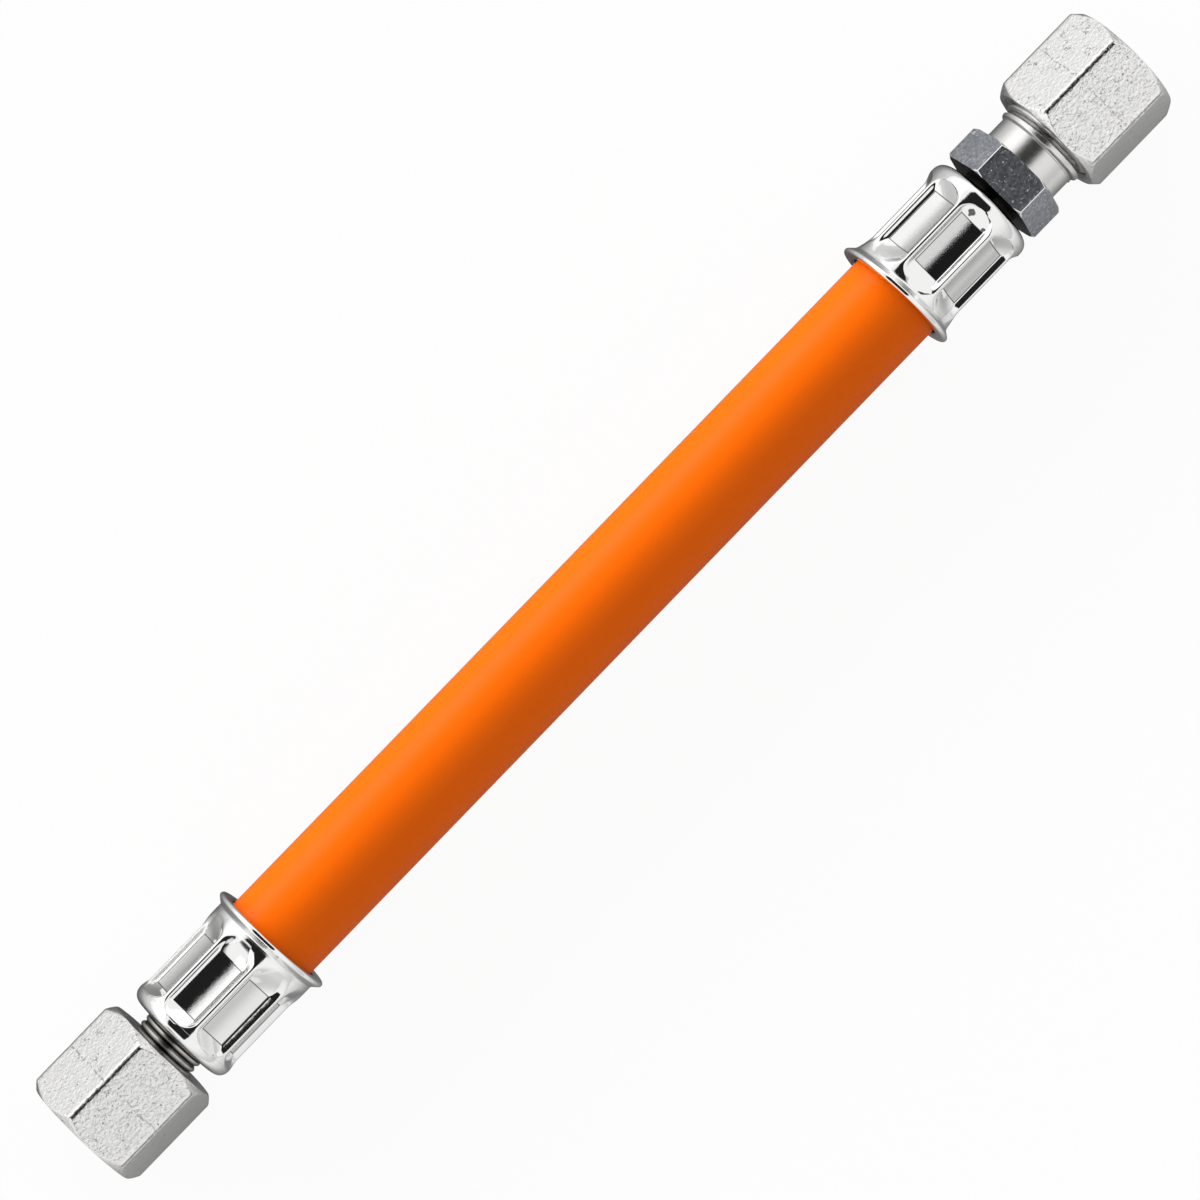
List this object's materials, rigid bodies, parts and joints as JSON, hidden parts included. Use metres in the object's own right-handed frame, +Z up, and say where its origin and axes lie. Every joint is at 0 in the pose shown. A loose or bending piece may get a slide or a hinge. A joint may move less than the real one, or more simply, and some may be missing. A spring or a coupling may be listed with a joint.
{
  "type": "propane regulator hose",
  "caption": "Short straight rubber gas hose with crimped metal ferrules, a swivelling union nut at one end and a hexagonal threaded stud with its union nut at the other.",
  "frame": {"origin": "on the hose's axis, halfway between the outer faces of the two union nuts", "axes": "+X along the hose towards the end with the threaded stud, +Y across it, +Z up as it lies flat"},
  "size_m": [0.2004, 0.019, 0.0188],
  "materials": {
    "orange_rubber": "satin extruded rubber with a faint grain",
    "black_rubber": "smooth moulded rubber",
    "yarn": "braided textile yarn",
    "bright_plating": "bright plating on deep-drawn steel",
    "turned_steel": "turned and milled steel with a thin plating",
    "zinc_steel": "zinc plating on forged steel"
  },
  "bodies": {
    "hose_assembly": {"hose_lining": "black_rubber", "hose_braid": "yarn", "hose_cover": "orange_rubber", "ferrule_a": "bright_plating", "ferrule_b": "bright_plating", "stud_a": "turned_steel", "tail_b": "turned_steel", "o_ring_b": "black_rubber"},
    "cutting_ring": {"cutting_ring_a": "turned_steel"},
    "nut_a": {"union_nut_a": "zinc_steel"},
    "nut_b": {"union_nut_b": "zinc_steel"}
  },
  "joints": [
    {"name": "ring_travel", "type": "slide", "parent": "hose_assembly", "child": "cutting_ring", "axis": [1, 0, 0], "range_m": [-0.0013, 0.0057]},
    {"name": "nut_a_turn", "type": "hinge", "parent": "cutting_ring", "child": "nut_a", "pos_m": [0.09255, 0, 0], "axis": [1, 0, 0], "range_deg": [-300, 1350]},
    {"name": "nut_b_turn", "type": "hinge", "parent": "hose_assembly", "child": "nut_b", "pos_m": [-0.09255, 0, 0], "axis": [1, 0, 0], "continuous": true}
  ],
  "couplings": [
    {"joint": "ring_travel", "follows": "nut_a_turn", "m_per_rad": 0.00023873}
  ]
}
